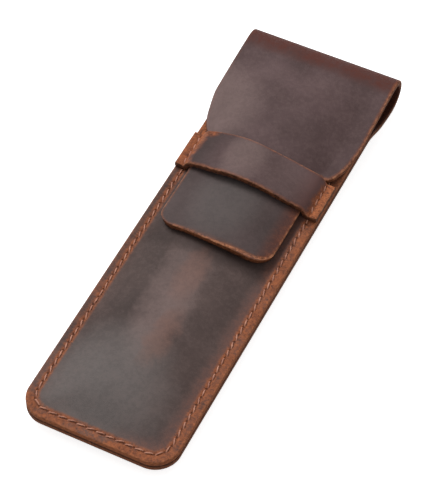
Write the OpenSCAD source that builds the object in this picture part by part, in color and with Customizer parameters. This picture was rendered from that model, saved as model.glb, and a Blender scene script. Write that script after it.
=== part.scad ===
// Leather pen case: one blank makes the back, the fold, the flap and its tongue.
// A moulded front is sewn to the back, and a keeper strap across the front holds the tongue.
// X runs across the case, +Y from the toe to the fold, and Z up from the surface it lies on.

/* [Case] */
// Closed length from the toe to the outside of the fold
case_l = 183.5; // [165:0.5:200]
// Width across the sewn rims
case_w = 55; // [52:1:62]
// Thickness of the leather
leather_t = 2.2; // [1.8:0.1:2.6]
// Radius of the two toe corners
toe_corner_r = 9; // [7:0.5:12]
// Width of the flat sewn rim
rim_w = 6; // [5.5:0.5:8]
// Height that the front bulges above its rim
front_rise = 4.5; // [4:0.5:8]
// Depth that the back bulges below its rim
back_drop = 4; // [3:0.5:5.5]
// Width of the flat strip that the back rests on
rest_w = 16; // [10:1:20]
// Length over which the pocket closes towards the toe rim
toe_run = 25; // [15:1:35]

/* [Seam] */
// Distance of the stitch line from the edge
seam_inset = 3.2; // [2.8:0.1:4]
// Length of one stitch
stitch_pitch = 3.45; // [3:0.05:5]
// Thickness of the thread
thread_t = 0.5; // [0.4:0.05:0.6]
// Distance of the last stitch hole from the mouth
seam_end_gap = 3; // [2:0.5:5]

/* [Keeper] */
// Distance of the keeper's lower edge from the toe
keeper_from_toe = 110; // [100:1:112]
// Width of the keeper strap along the case
keeper_w = 18.5; // [15:0.5:20]
// Height that the middle of the keeper's arch stands above the tongue
keeper_slack = 1; // [0.5:0.1:2]

/* [Flap] */
// Distance of the pocket's mouth from the outside of the fold
mouth_setback = 26; // [22:0.5:28]
// Outside height of the fold
fold_h = 13.8; // [13:0.1:15]
// Turn of the leather at the fold's lowest bend
low_turn = 44; // [42:1:46]
// Turn of the leather at the fold's middle bend
middle_turn = 36; // [34:1:38]
// Turn of the leather at the fold's top bend
top_turn = 40; // [38:1:42]
// Distance of the tongue's tip from the toe
tongue_from_toe = 83.5; // [75:0.5:95]
// Depth of the curve along the tongue's tip
tip_bulge = 1.2; // [0.6:0.1:2]
// Radius of the tongue's two corners
tongue_corner_r = 7.5; // [4:0.5:10]
// Length of the flap's rounded shoulders
shoulder_run = 19; // [14:0.5:22]
// Distance that the flap reaches past each sewn rim
flap_overhang = 1.5; // [0.5:0.25:2]

/* [Fits] */
// Gap between leathers that slide on each other
running_gap = 0.3; // [0.25:0.05:0.4]
// Gap round each bend of the fold
bend_gap = 0.2; // [0.15:0.05:0.25]
// Room between the keeper's rise and the stitch line
stitch_room = 0.6; // [0.5:0.1:0.8]

/* [Hidden] */
$fn = 64;

leather_color = [0.35, 0.27, 0.25];
edge_color = [0.48, 0.27, 0.18];
thread_color = [0.72, 0.44, 0.28];

half_w = case_w / 2;
toe_y = -case_l / 2;
mouth_y = case_l / 2 - mouth_setback;

// Heights of the sewn rim: under the back, between the two leathers, and on top of the front
rim_under = back_drop;
rim_mid = rim_under + leather_t;
rim_top = rim_mid + leather_t;

// The front bulges as an arch across the case. The tongue lies on it as an arch about the same axis.
arch_half = half_w - rim_w;
front_r = (pow(arch_half, 2) + pow(front_rise, 2)) / (2 * front_rise);
arch_axis_z = rim_top + front_rise - front_r;
tongue_under_r = front_r + running_gap;
tongue_over_r = tongue_under_r + leather_t;
front_top = rim_top + front_rise;
flap_top = arch_axis_z + tongue_over_r;

// Stitches: each is a closed loop with two legs, and two loops share each hole.
seam_x = half_w - seam_inset;
thread_seat = 0.05;
stitch_proud = thread_t + thread_seat;
leg_gap = 0.17;
hole_r = norm([leg_gap / 2 + thread_t, thread_t / 2]) + thread_seat;
hole_wall = 0.15;
hole_edge_room = hole_r + hole_wall;

// The tongue is as wide as the keeper's arch lets through
keeper_wall_x = seam_x - stitch_room - leather_t;
keeper_foot = 1.1;
tongue_half = keeper_wall_x - running_gap;

// The keeper arches higher than the tongue in the middle, and comes down to it at both walls
tongue_side_z = arch_axis_z + sqrt(pow(tongue_over_r, 2) - pow(tongue_half, 2));
keeper_crown = flap_top + keeper_slack;
keeper_sag = keeper_crown - tongue_side_z - running_gap;
keeper_under_r = (pow(keeper_wall_x, 2) + pow(keeper_sag, 2)) / (2 * keeper_sag);
keeper_over_r = keeper_under_r + leather_t;
keeper_axis_z = keeper_crown - keeper_under_r;
keeper_low_y = toe_y + keeper_from_toe;
keeper_high_y = keeper_low_y + keeper_w;
tongue_tip_y = toe_y + tongue_from_toe;

// The flap's front ends just above the keeper, where the tongue goes on
split_room = 1.5;
split_y = keeper_high_y + split_room;
shoulder_y = split_y + shoulder_run;
flap_half = half_w + flap_overhang;

// The flat part of the back runs from just above the mouth to the fold
mouth_fall = 10;
flat_y = mouth_y + mouth_fall;

// The fold is a chain of three bends and two curved bands between the back and the flap
turns = [low_turn, middle_turn, top_turn];
curls = [30, 22];
band_shares = [8, 5.7];
band_count = len(curls);
function heading(i) = i == 0 ? low_turn : heading(i - 1) + curls[i - 1] + turns[i];
function chord_turn(i) = heading(i) + curls[i] / 2;
function chord_share(i) = band_shares[i] * sin(curls[i] / 2) / (curls[i] / 2 * PI / 180);
function chord_rise(i) = chord_share(i) * sin(chord_turn(i));
share_l = (fold_h - leather_t) / (chord_rise(0) + chord_rise(1));
knuckle_extra = 0.02;
knuckle_r = leather_t / 2 + knuckle_extra;
socket_r = knuckle_r + bend_gap;
fold_y = case_l / 2 - knuckle_r - share_l * chord_share(0) * cos(chord_turn(0));
function bend(i) = i == 0
    ? [fold_y, leather_t / 2]
    : bend(i - 1) + share_l * chord_share(i - 1) * [cos(chord_turn(i - 1)), sin(chord_turn(i - 1))];
crest = bend(band_count);

// Beyond these the cutting solids are out of the way
far = 40;
below = -1;
spread = 10;

function arc_points(centre, r, from, to, steps) = [
    for (k = [0 : steps])
        let (a = from + (to - from) * k / steps)
        centre + r * [cos(a), sin(a)]
];

// A profile drawn in Y and Z, extruded across the case
module across() {
    translate([-far, 0, 0])
        rotate([90, 0, 90])
        linear_extrude(2 * far)
        children();
}

// A profile drawn in X and Z, extruded along the case from one Y to another
module along(from, to) {
    translate([0, to, 0])
        rotate([90, 0, 0])
        linear_extrude(to - from)
        children();
}

// The space under a line of points, down to below the case
module under(line) {
    polygon(concat(line, [[line[len(line) - 1].x, below], [line[0].x, below]]));
}

// The space under an arch across the case
module under_arch(r) {
    translate([0, toe_y - far, arch_axis_z])
        rotate([-90, 0, 0])
        cylinder(h = case_l + 2 * far, r = r, $fn = 256);
}

// The space under a level
module under_level(z) {
    translate([-far, toe_y - far, below])
        cube([2 * far, case_l + 2 * far, z - below]);
}

// Plan of the sewn panels from the toe up to a given Y
corner_x = half_w - toe_corner_r;
corner_y = toe_y + toe_corner_r;
module panel_plan(top_y) {
    polygon(concat(
        [[half_w, top_y], [-half_w, top_y]],
        arc_points([-corner_x, corner_y], toe_corner_r, 180, 270, 10),
        arc_points([corner_x, corner_y], toe_corner_r, 270, 360, 10)
    ));
}

// Stitch line: from the mouth down the left side, round the toe and up the right side
seam_start_y = mouth_y - seam_end_gap;
seam_r = toe_corner_r - seam_inset;
side_run = seam_start_y - corner_y;
corner_run = PI / 2 * seam_r;
toe_row = 2 * corner_x;
seam_l = 2 * side_run + 2 * corner_run + toe_row;
stitches = round(seam_l / stitch_pitch);

function seam_point(s) =
    s > seam_l / 2
    ? let (p = seam_point(seam_l - s)) [-p.x, p.y]
    : s < side_run
    ? [-seam_x, seam_start_y - s]
    : s < side_run + corner_run
    ? let (a = (s - side_run) / seam_r * 180 / PI) [-corner_x - seam_r * cos(a), corner_y - seam_r * sin(a)]
    : [-corner_x + (s - side_run - corner_run), toe_y + seam_inset];

// A hole keeps clear of the keeper's two edges
function clear_of(y, edge) = abs(y - edge) < hole_edge_room
    ? edge + (y < edge ? -hole_edge_room : hole_edge_room)
    : y;
function hole_at(i) =
    let (p = seam_point(seam_l * i / stitches))
    [p.x, clear_of(clear_of(p.y, keeper_low_y), keeper_high_y)];
function on_keeper(p) = p.y > keeper_low_y && p.y < keeper_high_y;

module seam_holes(keeper_only = false) {
    for (i = [0 : stitches]) {
        p = hole_at(i);
        if (!keeper_only || on_keeper(p)) {
            translate([p.x, p.y, below])
                cylinder(h = far, r = hole_r);
        }
    }
}

// One stitch: a closed loop of thread from hole a to hole b, round everything between two levels
module stitch(a, b, low, high) {
    run = b - a;
    length = norm(run) - leg_gap;
    translate([a.x, a.y, 0])
        rotate([0, 0, atan2(run.y, run.x)])
        rotate([90, 0, 0])
        linear_extrude(thread_t, center = true)
        difference() {
            translate([leg_gap / 2, low - stitch_proud])
                square([length, high - low + 2 * stitch_proud]);
            translate([leg_gap / 2 + thread_t, low - thread_seat])
                square([length - 2 * thread_t, high - low + 2 * thread_seat]);
        }
}

function in_toe(i) = min(hole_at(i).y, hole_at(i + 1).y) < corner_y;
function in_keeper(i) = on_keeper(hole_at(i)) || on_keeper(hole_at(i + 1));

// The stitches of one group: "toe", or "side" or "keeper" on the left (-1) or right (1)
module stitch_group(group, side = 0) {
    color(thread_color)
        for (i = [0 : stitches - 1]) {
            kind = in_toe(i) ? "toe" : in_keeper(i) ? "keeper" : "side";
            here = side == 0 || sign(hole_at(i).x) == side;
            if (kind == group && here) {
                stitch(hole_at(i), hole_at(i + 1), rim_under,
                    kind == "keeper" ? rim_top + leather_t : rim_top);
            }
        }
}

// The space under the back's outer face, or under its inner face when lifted by the leather
module under_back(lift) {
    side_slope = back_drop / (arch_half - rest_w / 2);
    toe_slope = back_drop / toe_run;
    mouth_slope = back_drop / mouth_fall;
    intersection() {
        union() {
            along(toe_y - far, case_l)
                under([
                    [-arch_half - spread, back_drop + spread * side_slope + lift],
                    [-rest_w / 2, lift],
                    [rest_w / 2, lift],
                    [arch_half + spread, back_drop + spread * side_slope + lift]
                ]);
            across()
                under([
                    [toe_y - spread, back_drop + (rim_w + spread) * toe_slope + lift],
                    [toe_y + rim_w + toe_run + lift / toe_slope, 0]
                ]);
        }
        across()
            under([
                [toe_y - spread, (flat_y - toe_y + spread) * mouth_slope + lift],
                [flat_y, lift],
                [case_l, lift]
            ]);
        under_level(back_drop + lift);
    }
}

module back_panel() {
    color(leather_color)
        difference() {
            intersection() {
                linear_extrude(far)
                    panel_plan(fold_y);
                under_back(leather_t);
            }
            under_back(0);
            across()
                translate(bend(0))
                circle(r = socket_r);
            seam_holes();
        }
}

// The space under the front's outer face, or under its inner face one leather lower
module under_front(r, level, top_z) {
    overshoot = 0.4;
    rise = front_rise + overshoot;
    toe_r = (pow(toe_run, 2) + pow(rise, 2)) / (2 * rise);
    start = toe_y + rim_w;
    steps = 8;
    slope = rise / toe_run * 2;
    union() {
        under_level(level);
        intersection() {
            under_arch(r);
            across()
                under(concat(
                    [[start - rim_w, top_z - front_rise - rim_w * slope]],
                    [for (k = [0 : steps])
                        let (y = toe_run * k / steps)
                        [start + y, top_z + overshoot - toe_r + sqrt(pow(toe_r, 2) - pow(toe_run - y, 2))]],
                    [[start + toe_run + far, top_z + overshoot + front_rise]],
                    [[case_l, top_z + overshoot + front_rise]]
                ));
        }
    }
}

module front_panel() {
    color(leather_color)
        difference() {
            intersection() {
                linear_extrude(far)
                    panel_plan(mouth_y);
                under_front(front_r, rim_top, front_top);
            }
            under_front(front_r - leather_t, rim_mid, front_top - leather_t);
            seam_holes();
        }
}

// Cross profile of the keeper: a flat end on each rim, a steep rise, and an arch over the tongue
module keeper_profile() {
    reach = asin(keeper_wall_x / keeper_under_r);
    over_reach = asin(keeper_wall_x / keeper_over_r);
    axis = [0, keeper_axis_z];
    steps = 20;
    foot_x = keeper_wall_x + keeper_foot;
    shelf_x = keeper_wall_x + leather_t;
    polygon(concat(
        arc_points(axis, keeper_under_r, 90 - reach, 90 + reach, steps),
        [[-foot_x, rim_top], [-half_w, rim_top], [-half_w, rim_top + leather_t], [-shelf_x, rim_top + leather_t]],
        arc_points(axis, keeper_over_r, 90 + over_reach, 90 - over_reach, steps),
        [[shelf_x, rim_top + leather_t], [half_w, rim_top + leather_t], [half_w, rim_top], [foot_x, rim_top]]
    ));
}

module keeper_strap() {
    color(edge_color)
        difference() {
            along(keeper_low_y, keeper_high_y)
                keeper_profile();
            seam_holes(keeper_only = true);
        }
}

// The space in which the blank widens from the sewn back, up and over the fold, to the flap
module widening() {
    full_z = crest.y - socket_r;
    along(mouth_y, case_l)
        polygon([
            [half_w, below], [half_w, leather_t], [flap_half, full_z], [flap_half, far],
            [-flap_half, far], [-flap_half, full_z], [-half_w, leather_t], [-half_w, below]
        ]);
}

// One band of the fold: a curved strip with a round edge at its lower bend and a hollow one at its upper bend
module fold_band(i) {
    curl = curls[i - 1];
    mid_r = share_l * band_shares[i - 1] / (curl * PI / 180);
    centre = bend(i - 1) + mid_r * [-sin(heading(i - 1)), cos(heading(i - 1))];
    from = heading(i - 1) - 90;
    steps = 8;
    color(leather_color)
        intersection() {
            widening();
            across()
                difference() {
                    union() {
                        translate(bend(i - 1))
                            circle(r = knuckle_r);
                        polygon(concat(
                            arc_points(centre, mid_r + leather_t / 2, from, from + curl, steps),
                            arc_points(centre, mid_r - leather_t / 2, from + curl, from, steps)
                        ));
                    }
                    translate(bend(i))
                        circle(r = socket_r);
                }
        }
}

// The space under the flap's outer face, or under its inner face one leather lower
module under_flap(r, drop) {
    rise = flap_top - (crest.y + leather_t / 2);
    run = crest.x - mouth_y;
    edge_low = rim_top + stitch_proud + running_gap + leather_t;
    union() {
        intersection() {
            under_arch(r);
            across()
                under([
                    [mouth_y - 2 * run, flap_top + 2 * rise - drop],
                    [crest.x, crest.y + leather_t / 2 - drop]
                ]);
        }
        across()
            under([
                [split_y - spread, edge_low - drop],
                [split_y, edge_low - drop],
                [crest.x, crest.y + leather_t / 2 - drop]
            ]);
    }
}

module flap_plan() {
    knuckle_seat = 0.3;
    top_y = crest.x - knuckle_seat;
    steps = 7;
    shoulder = [
        for (k = [0 : steps])
            let (a = 90 * k / steps)
            [tongue_half + (flap_half - tongue_half) * cos(a), shoulder_y - shoulder_run * sin(a)]
    ];
    polygon(concat(
        [[flap_half, top_y]],
        shoulder,
        [for (k = [0 : steps]) [-shoulder[steps - k].x, shoulder[steps - k].y]],
        [[-flap_half, top_y]]
    ));
}

module flap_front() {
    color(leather_color)
        union() {
            difference() {
                intersection() {
                    linear_extrude(far)
                        flap_plan();
                    under_flap(tongue_over_r, 0);
                }
                under_flap(tongue_under_r, leather_t);
            }
            translate([-flap_half, 0, 0])
                rotate([90, 0, 90])
                linear_extrude(2 * flap_half)
                translate(crest)
                circle(r = knuckle_r);
        }
}

module flap_tongue() {
    side_x = tongue_half - tongue_corner_r;
    low_y = tongue_tip_y + tip_bulge + tongue_corner_r;
    tip_r = (pow(side_x, 2) + pow(tip_bulge, 2)) / (2 * tip_bulge);
    tip_reach = asin(side_x / tip_r);
    tip_axis = [0, tongue_tip_y + tip_r];
    rest = rim_top + running_gap;
    color(leather_color)
        difference() {
            intersection() {
                linear_extrude(far)
                    polygon(concat(
                        [[tongue_half, split_y], [-tongue_half, split_y]],
                        arc_points([-side_x, low_y], tongue_corner_r, 180, 270 - tip_reach, 8),
                        arc_points(tip_axis, tip_r, 270 - tip_reach, 270 + tip_reach, 6),
                        arc_points([side_x, low_y], tongue_corner_r, 270 + tip_reach, 360, 8)
                    ));
                union() {
                    under_arch(tongue_over_r);
                    under_level(rest + leather_t);
                }
            }
            under_arch(tongue_under_r);
            under_level(rest);
        }
}

back_panel();
front_panel();
keeper_strap();
fold_band(1);  // fold_band_1
fold_band(2);  // fold_band_2
flap_front();
flap_tongue();
stitch_group("side", -1);  // left_side_stitches
stitch_group("toe");  // toe_stitches
stitch_group("side", 1);  // right_side_stitches
stitch_group("keeper", -1);  // left_keeper_stitches
stitch_group("keeper", 1);  // right_keeper_stitches
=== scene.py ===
import math

import bmesh
import bpy
from mathutils import Matrix, Vector, noise
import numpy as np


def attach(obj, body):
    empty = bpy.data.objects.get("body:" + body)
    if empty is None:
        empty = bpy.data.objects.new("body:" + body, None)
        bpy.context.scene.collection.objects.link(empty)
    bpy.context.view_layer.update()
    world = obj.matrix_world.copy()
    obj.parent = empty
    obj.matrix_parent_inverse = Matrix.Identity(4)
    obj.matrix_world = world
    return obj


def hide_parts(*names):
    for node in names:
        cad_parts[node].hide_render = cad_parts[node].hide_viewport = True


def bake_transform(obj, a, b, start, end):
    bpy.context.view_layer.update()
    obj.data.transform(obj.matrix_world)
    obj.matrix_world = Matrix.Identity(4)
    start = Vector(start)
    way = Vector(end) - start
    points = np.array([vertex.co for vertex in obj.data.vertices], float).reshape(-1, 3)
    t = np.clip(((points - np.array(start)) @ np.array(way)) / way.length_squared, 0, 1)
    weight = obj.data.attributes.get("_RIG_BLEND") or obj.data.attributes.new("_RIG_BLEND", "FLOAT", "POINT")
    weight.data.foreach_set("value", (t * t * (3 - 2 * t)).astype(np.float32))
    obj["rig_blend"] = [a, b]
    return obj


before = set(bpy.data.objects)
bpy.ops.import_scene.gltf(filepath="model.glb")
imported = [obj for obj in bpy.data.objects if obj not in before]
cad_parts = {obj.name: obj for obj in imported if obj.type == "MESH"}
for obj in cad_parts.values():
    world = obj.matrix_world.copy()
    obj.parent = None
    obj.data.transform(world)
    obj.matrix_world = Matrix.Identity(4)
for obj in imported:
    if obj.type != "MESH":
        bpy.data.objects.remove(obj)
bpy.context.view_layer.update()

# Lengths are in millimetres until a mesh is made. X runs across the case, and Y from the toe to the fold.
MM = 0.001
# Where the toe lies in the frame
TOE_Y = -91.75

# The leather and the sewn body
THICK = 2.2
HALF_T = THICK / 2
EDGE_R = 0.5
HALF_W = 27.5
TOE_R = 9.0
MOUTH_Y = 157.5
RIM_W = 6.0
RIM_UNDER = 4.0
RIM_TOP = 8.4
# Edges bent more than this stay sharp
SHARP = math.radians(50)

# The front's bulge: its height, half width, radius across, and height and length of the climb from the toe
FRONT_RISE = 4.5
ARCH_HALF = 21.5
FRONT_R = 53.6
FRONT_CLIMB = 6.4
FRONT_CLIMB_RUN = 28.0
# How softly the bulge rounds off at its toe end and where it meets the rim
FRONT_ROUND = 1.0
RIM_ROUND = 0.8

# The back's bulge: half the flat strip, the rise beside it, the rise at the toe and the fall past the mouth
REST_HALF = 5.5
REST_RUN = 17.5
BACK_TOE = 5.0
BACK_TOE_RUN = 27.0
BACK_FALL = 155.5
BACK_FALL_RUN = 13.5

# The flap: it is FLARE times as wide as the sewn body, and narrows from the shoulders to the tongue
FLARE = 1.0545
TONGUE_HALF = 21.2 / FLARE
SHOULDER_Y = 149.2
SPLIT_Y = 128.7
TIP_Y = 83.5
TIP_BULGE = 1.2
TIP_R = 7.0
TIP_SKEW = 0.9

# The keeper
KEEPER_LOW = 110.0
KEEPER_W = 18.5
KEEPER_HIGH = KEEPER_LOW + KEEPER_W
KEEPER_MID = KEEPER_LOW + KEEPER_W / 2

# The seam runs down the left side from the mouth, round the toe and up the right side
SEAM_X = 24.3
SEAM_TOP = 154.5
SEAM_R = TOE_R - (HALF_W - SEAM_X)
SIDE_RUN = SEAM_TOP - TOE_R
CORNER_RUN = math.pi / 2 * SEAM_R
TOE_RUN = 2 * (HALF_W - TOE_R)
SEAM_L = 2 * SIDE_RUN + 2 * CORNER_RUN + TOE_RUN
STITCHES = 100
PITCH = SEAM_L / STITCHES
# How deep and how wide the thread pulls the leather down
SINK = 0.22
SINK_W = 0.75
# How high the slow waves in hand-made leather are
WAVE = 0.12


def ease(t):
    """A smooth rise from 0 to 1."""
    t = min(max(t, 0.0), 1.0)
    return t * t * (3 - 2 * t)


def soft_max(a, b, room):
    """The larger of two heights, rounded where they cross."""
    return 0.5 * (a + b + math.hypot(a - b, room))


def soft_min(a, b, room):
    """The smaller of two heights, rounded where they cross."""
    return 0.5 * (a + b - math.hypot(a - b, room))


# ---------------------------------------------------------------- camera

# Where the camera stands in the frame, which way it looks, and which way is up for it
CAMERA = Vector((202.882, -321.771 + TOE_Y, 590.254))
LOOK = Vector((-0.273660, 0.551213, -0.788210))
UPWARDS = Vector((-0.350503, 0.705990, 0.615407))
# Focal length and longer side of the render in pixels, and the sensor's longer side
FOCAL_PX = 2180.86
FRAME_H = 500
SENSOR = 36.0


def set_camera():
    data = bpy.data.cameras.new("camera")
    data.sensor_width = SENSOR
    data.lens = SENSOR * FOCAL_PX / FRAME_H
    data.clip_start = 0.05
    data.clip_end = 20
    camera = bpy.data.objects.new("camera", data)
    bpy.context.scene.collection.objects.link(camera)
    turn = Matrix((LOOK.cross(UPWARDS), UPWARDS, -LOOK)).transposed().to_4x4()
    camera.matrix_world = Matrix.Translation(CAMERA * MM) @ turn
    bpy.context.scene.camera = camera


set_camera()

# ---------------------------------------------------------------- modelling by hand

# The directions of a cut's normal
ACROSS = (1, 0, 0)
ALONG = (0, 1, 0)


def put_down():
    """Leaves edit mode with nothing selected."""
    if bpy.context.object and bpy.context.object.mode != "OBJECT":
        bpy.ops.object.mode_set(mode="OBJECT")
    bpy.ops.object.select_all(action="DESELECT")


def take_up(piece):
    put_down()
    piece.select_set(True)
    bpy.context.view_layer.objects.active = piece


def pick(piece, kind, test):
    """Selects, in edit mode, the vertices, edges or faces whose middle passes the test."""
    if piece.mode != "EDIT":
        bpy.ops.object.mode_set(mode="EDIT")
    bpy.ops.mesh.select_mode(type=kind)
    bpy.ops.mesh.select_all(action="DESELECT")
    net = bmesh.from_edit_mesh(piece.data)
    parts = {"VERT": net.verts, "EDGE": net.edges, "FACE": net.faces}[kind]
    for part in parts:
        corners = [part] if kind == "VERT" else list(part.verts)
        middle = sum((v.co for v in corners), Vector()) / len(corners) / MM
        part.select_set(test(middle))
    net.select_flush_mode()
    bmesh.update_edit_mesh(piece.data)


def sheet_of(name, width, low, high):
    """A flat rectangle of leather, laid out from one length to another."""
    put_down()
    bpy.ops.mesh.primitive_plane_add(size=1, location=(0, (low + high) / 2 * MM, 0))
    piece = bpy.context.object
    piece.name = name
    piece.data.name = name
    piece.scale = (width * MM, (high - low) * MM, 1)
    bpy.ops.object.transform_apply(location=True, rotation=True, scale=True)
    return piece


def round_corners(piece, test, radius, segments):
    pick(piece, "VERT", test)
    bpy.ops.mesh.bevel(offset=radius * MM, segments=segments, profile=0.5, affect="VERTICES")


def ring(widths):
    """Rings of faces that follow the cut edge inwards."""
    bpy.ops.mesh.select_mode(type="FACE")
    bpy.ops.mesh.select_all(action="SELECT")
    for width in widths:
        bpy.ops.mesh.inset(thickness=width * MM, depth=0, use_boundary=True, use_even_offset=True)


def cut_lines(normal, places):
    """Cuts straight through the whole sheet at each place."""
    for place in places:
        bpy.ops.mesh.select_all(action="SELECT")
        bpy.ops.mesh.bisect(plane_co=[place * MM * n for n in normal], plane_no=normal, use_fill=False)


def spaced(low, high, step):
    """Places from low to high, about a step apart."""
    count = max(1, round((high - low) / step))
    return [low + (high - low) * k / count for k in range(count + 1)]


def give(piece, name, values):
    """Writes a number on each vertex, for the finishes to read."""
    layer = piece.data.attributes.get(name) or piece.data.attributes.new(name, "FLOAT", "POINT")
    layer.data.foreach_set("value", values)


def read(piece, name):
    values = [0.0] * len(piece.data.vertices)
    piece.data.attributes[name].data.foreach_get("value", values)
    return values


def edge_thickness(cut):
    """Share of the full thickness at a distance from the cut edge, for a rounded, burnished edge."""
    if cut >= EDGE_R:
        return 1.0
    dip = EDGE_R - math.sqrt(max(EDGE_R ** 2 - (EDGE_R - cut) ** 2, 0))
    return (HALF_T - dip) / HALF_T


def apply_modifiers(piece):
    take_up(piece)
    for modifier in list(piece.modifiers):
        bpy.ops.object.modifier_apply(modifier=modifier.name)


def slope(form, x, s, step=0.05):
    """The direction square to the leather. Times the facing, it is the grain side's."""
    across = Vector(form(x + step, s)) - Vector(form(x - step, s))
    along = Vector(form(x, s + step)) - Vector(form(x, s - step))
    return across.cross(along).normalized()


def form_leather(piece, form, cut_at, seam_at, facing):
    """Bends a flat sheet into place, gives it its thickness and a rounded edge, and keeps its flat places."""
    bpy.ops.object.mode_set(mode="OBJECT")
    mesh = piece.data
    flat = [(v.co.x / MM, v.co.y / MM) for v in mesh.vertices]
    cuts = [cut_at(x, s) for x, s in flat]
    give(piece, "flat_x", [x for x, s in flat])
    give(piece, "flat_s", [s for x, s in flat])
    give(piece, "cut", cuts)
    group = piece.vertex_groups.new(name="thickness")
    for k, cut in enumerate(cuts):
        group.add([k], edge_thickness(cut), "REPLACE")
    for v, (x, s) in zip(mesh.vertices, flat):
        v.co = Vector(form(x, s)) * MM
    if facing < 0:
        take_up(piece)
        bpy.ops.object.mode_set(mode="EDIT")
        bpy.ops.mesh.select_all(action="SELECT")
        bpy.ops.mesh.flip_normals()
        bpy.ops.object.mode_set(mode="OBJECT")
    wall = piece.modifiers.new("thickness", "SOLIDIFY")
    wall.thickness = THICK * MM
    wall.offset = 0
    wall.use_even_offset = True
    wall.use_quality_normals = True
    wall.vertex_group = "thickness"
    apply_modifiers(piece)
    piece.vertex_groups.clear()
    xs, ss = read(piece, "flat_x"), read(piece, "flat_s")
    depth, seam, stitch = [], [], []
    for v, x, s in zip(piece.data.vertices, xs, ss):
        depth.append((v.co / MM - Vector(form(x, s))).dot(slope(form, x, s)) * facing)
        away, count = seam_at(x, s)
        seam.append(away)
        stitch.append(count)
    give(piece, "depth", depth)
    give(piece, "seam", seam)
    give(piece, "stitch", stitch)
    take_up(piece)
    bpy.ops.object.shade_smooth_by_angle(angle=SHARP)


# ---------------------------------------------------------------- shapes of the leather

def seam_place(x, y):
    """Distance from the seam line, and the count of stitches along it from the left end."""
    side = -1 if x < 0 else 1
    ax = abs(x)
    if y >= TOE_R:
        away, run = ax - SEAM_X, SEAM_TOP - y
        if y > SEAM_TOP:
            away = math.hypot(away, y - SEAM_TOP)
            run = 0
    elif ax < HALF_W - TOE_R:
        away, run = y - (HALF_W - SEAM_X), SIDE_RUN + CORNER_RUN + (HALF_W - TOE_R - ax)
    else:
        dx, dy = ax - (HALF_W - TOE_R), TOE_R - y
        away, run = math.hypot(dx, dy) - SEAM_R, SIDE_RUN + math.atan2(dy, dx) * SEAM_R
    count = run / PITCH
    return abs(away), count if side < 0 else STITCHES - count


def sink(away):
    """The thread pulls the leather down along the seam."""
    return SINK * math.exp(-(away / SINK_W) ** 2)


def groove(x, y):
    return sink(seam_place(x, y)[0])


def uneven(x, s, seed):
    """Slow hand-made waves in the leather."""
    return WAVE * noise.noise(Vector((x * 0.05 + seed, s * 0.035, seed * 3.1)))


def front_height(x, y):
    """Height of the front's outer face above its rim."""
    arch = math.sqrt(FRONT_R ** 2 - min(abs(x), HALF_W - 1.5) ** 2) - (FRONT_R - FRONT_RISE)
    climb = (y - RIM_W) / FRONT_CLIMB_RUN
    toe = FRONT_CLIMB * (1 - (1 - min(climb, 1)) ** 2) if climb > 0 else FRONT_CLIMB * 2 * climb
    return soft_max(soft_min(arch, toe, FRONT_ROUND), 0, RIM_ROUND) - 0.05


def front_form(x, y):
    height = front_height(x, y)
    lift = uneven(x, y, seed=1.7) * ease(height / 2)
    return x, TOE_Y + y, RIM_TOP - HALF_T + height - groove(x, y) + lift


def back_rise(x, y):
    """Height of the back's outer face above the table."""
    cross = ease((abs(x) - REST_HALF) / REST_RUN)
    toe = 1 - ease((y - BACK_TOE) / BACK_TOE_RUN)
    fall = 1 - ease((y - BACK_FALL) / BACK_FALL_RUN)
    return RIM_UNDER * (1 - (1 - cross) * (1 - toe)) * fall


# The path of the leather from the toe round the fold to the tongue's tip: Y and Z of its middle layer,
# on the centre line and at the side edges
PATH = [
    ((-4.0, 1.1), (-4.0, 1.1)), ((0.0, 1.1), (0.0, 1.1)), ((60.0, 1.1), (60.0, 1.1)),
    ((120.0, 1.1), (120.0, 1.1)), ((158.0, 1.1), (158.0, 1.1)), ((167.0, 1.1), (167.0, 1.1)),
    ((172.6, 1.12), (172.6, 1.12)), ((176.6, 1.50), (176.6, 1.50)), ((179.8, 2.80), (179.8, 2.80)),
    ((181.75, 4.95), (181.75, 4.95)), ((182.4, 7.45), (182.4, 7.45)), ((181.85, 9.8), (181.85, 9.8)),
    ((180.2, 11.55), (180.2, 11.5)), ((177.6, 12.45), (177.6, 12.3)), ((174.0, 12.85), (174.0, 12.45)),
    ((167.0, 13.45), (167.0, 12.35)), ((157.0, 14.15), (157.0, 12.0)), ((144.0, 14.3), (144.0, 11.2)),
    ((131.0, 14.3), (131.0, 10.35)), ((110.0, 14.3), (110.0, 10.14)), ((96.0, 14.4), (96.0, 10.2)),
    ((83.5, 14.8), (83.5, 10.5)), ((76.0, 15.2), (76.0, 10.8)),
]
PATH_STEPS = 40


def spline(points, t):
    """A place on a smooth curve through the points, where t counts from the second of them."""
    k = min(max(int(t), 0), len(points) - 4)
    u = t - k
    a, b, c, d = points[k:k + 4]
    return tuple(
        0.5 * (2 * q + (r - p) * u + (2 * p - 5 * q + 4 * r - w) * u * u + (3 * q - p - 3 * r + w) * u ** 3)
        for p, q, r, w in zip(a, b, c, d)
    )


def lay_path():
    """Lengths along the leather, each with its Y and Z on the centre line and at the side edges."""
    rows = [tuple(c + e) for c, e in PATH]
    table = []
    run = 0.0
    last = None
    for k in range((len(rows) - 3) * PATH_STEPS + 1):
        here = spline(rows, k / PATH_STEPS)
        if last:
            run += math.hypot(here[0] - last[0], here[1] - last[1])
        table.append((run, here))
        last = here
    return table


TABLE = lay_path()


def on_path(s):
    """Y and Z on the centre line and at the side edges, at a length along the leather."""
    low, high = 0, len(TABLE) - 1
    while high - low > 1:
        middle = (low + high) // 2
        if TABLE[middle][0] <= s:
            low = middle
        else:
            high = middle
    (s0, a), (s1, b) = TABLE[low], TABLE[high]
    share = (s - s0) / (s1 - s0)
    return tuple(p + (q - p) * share for p, q in zip(a, b))


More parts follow.
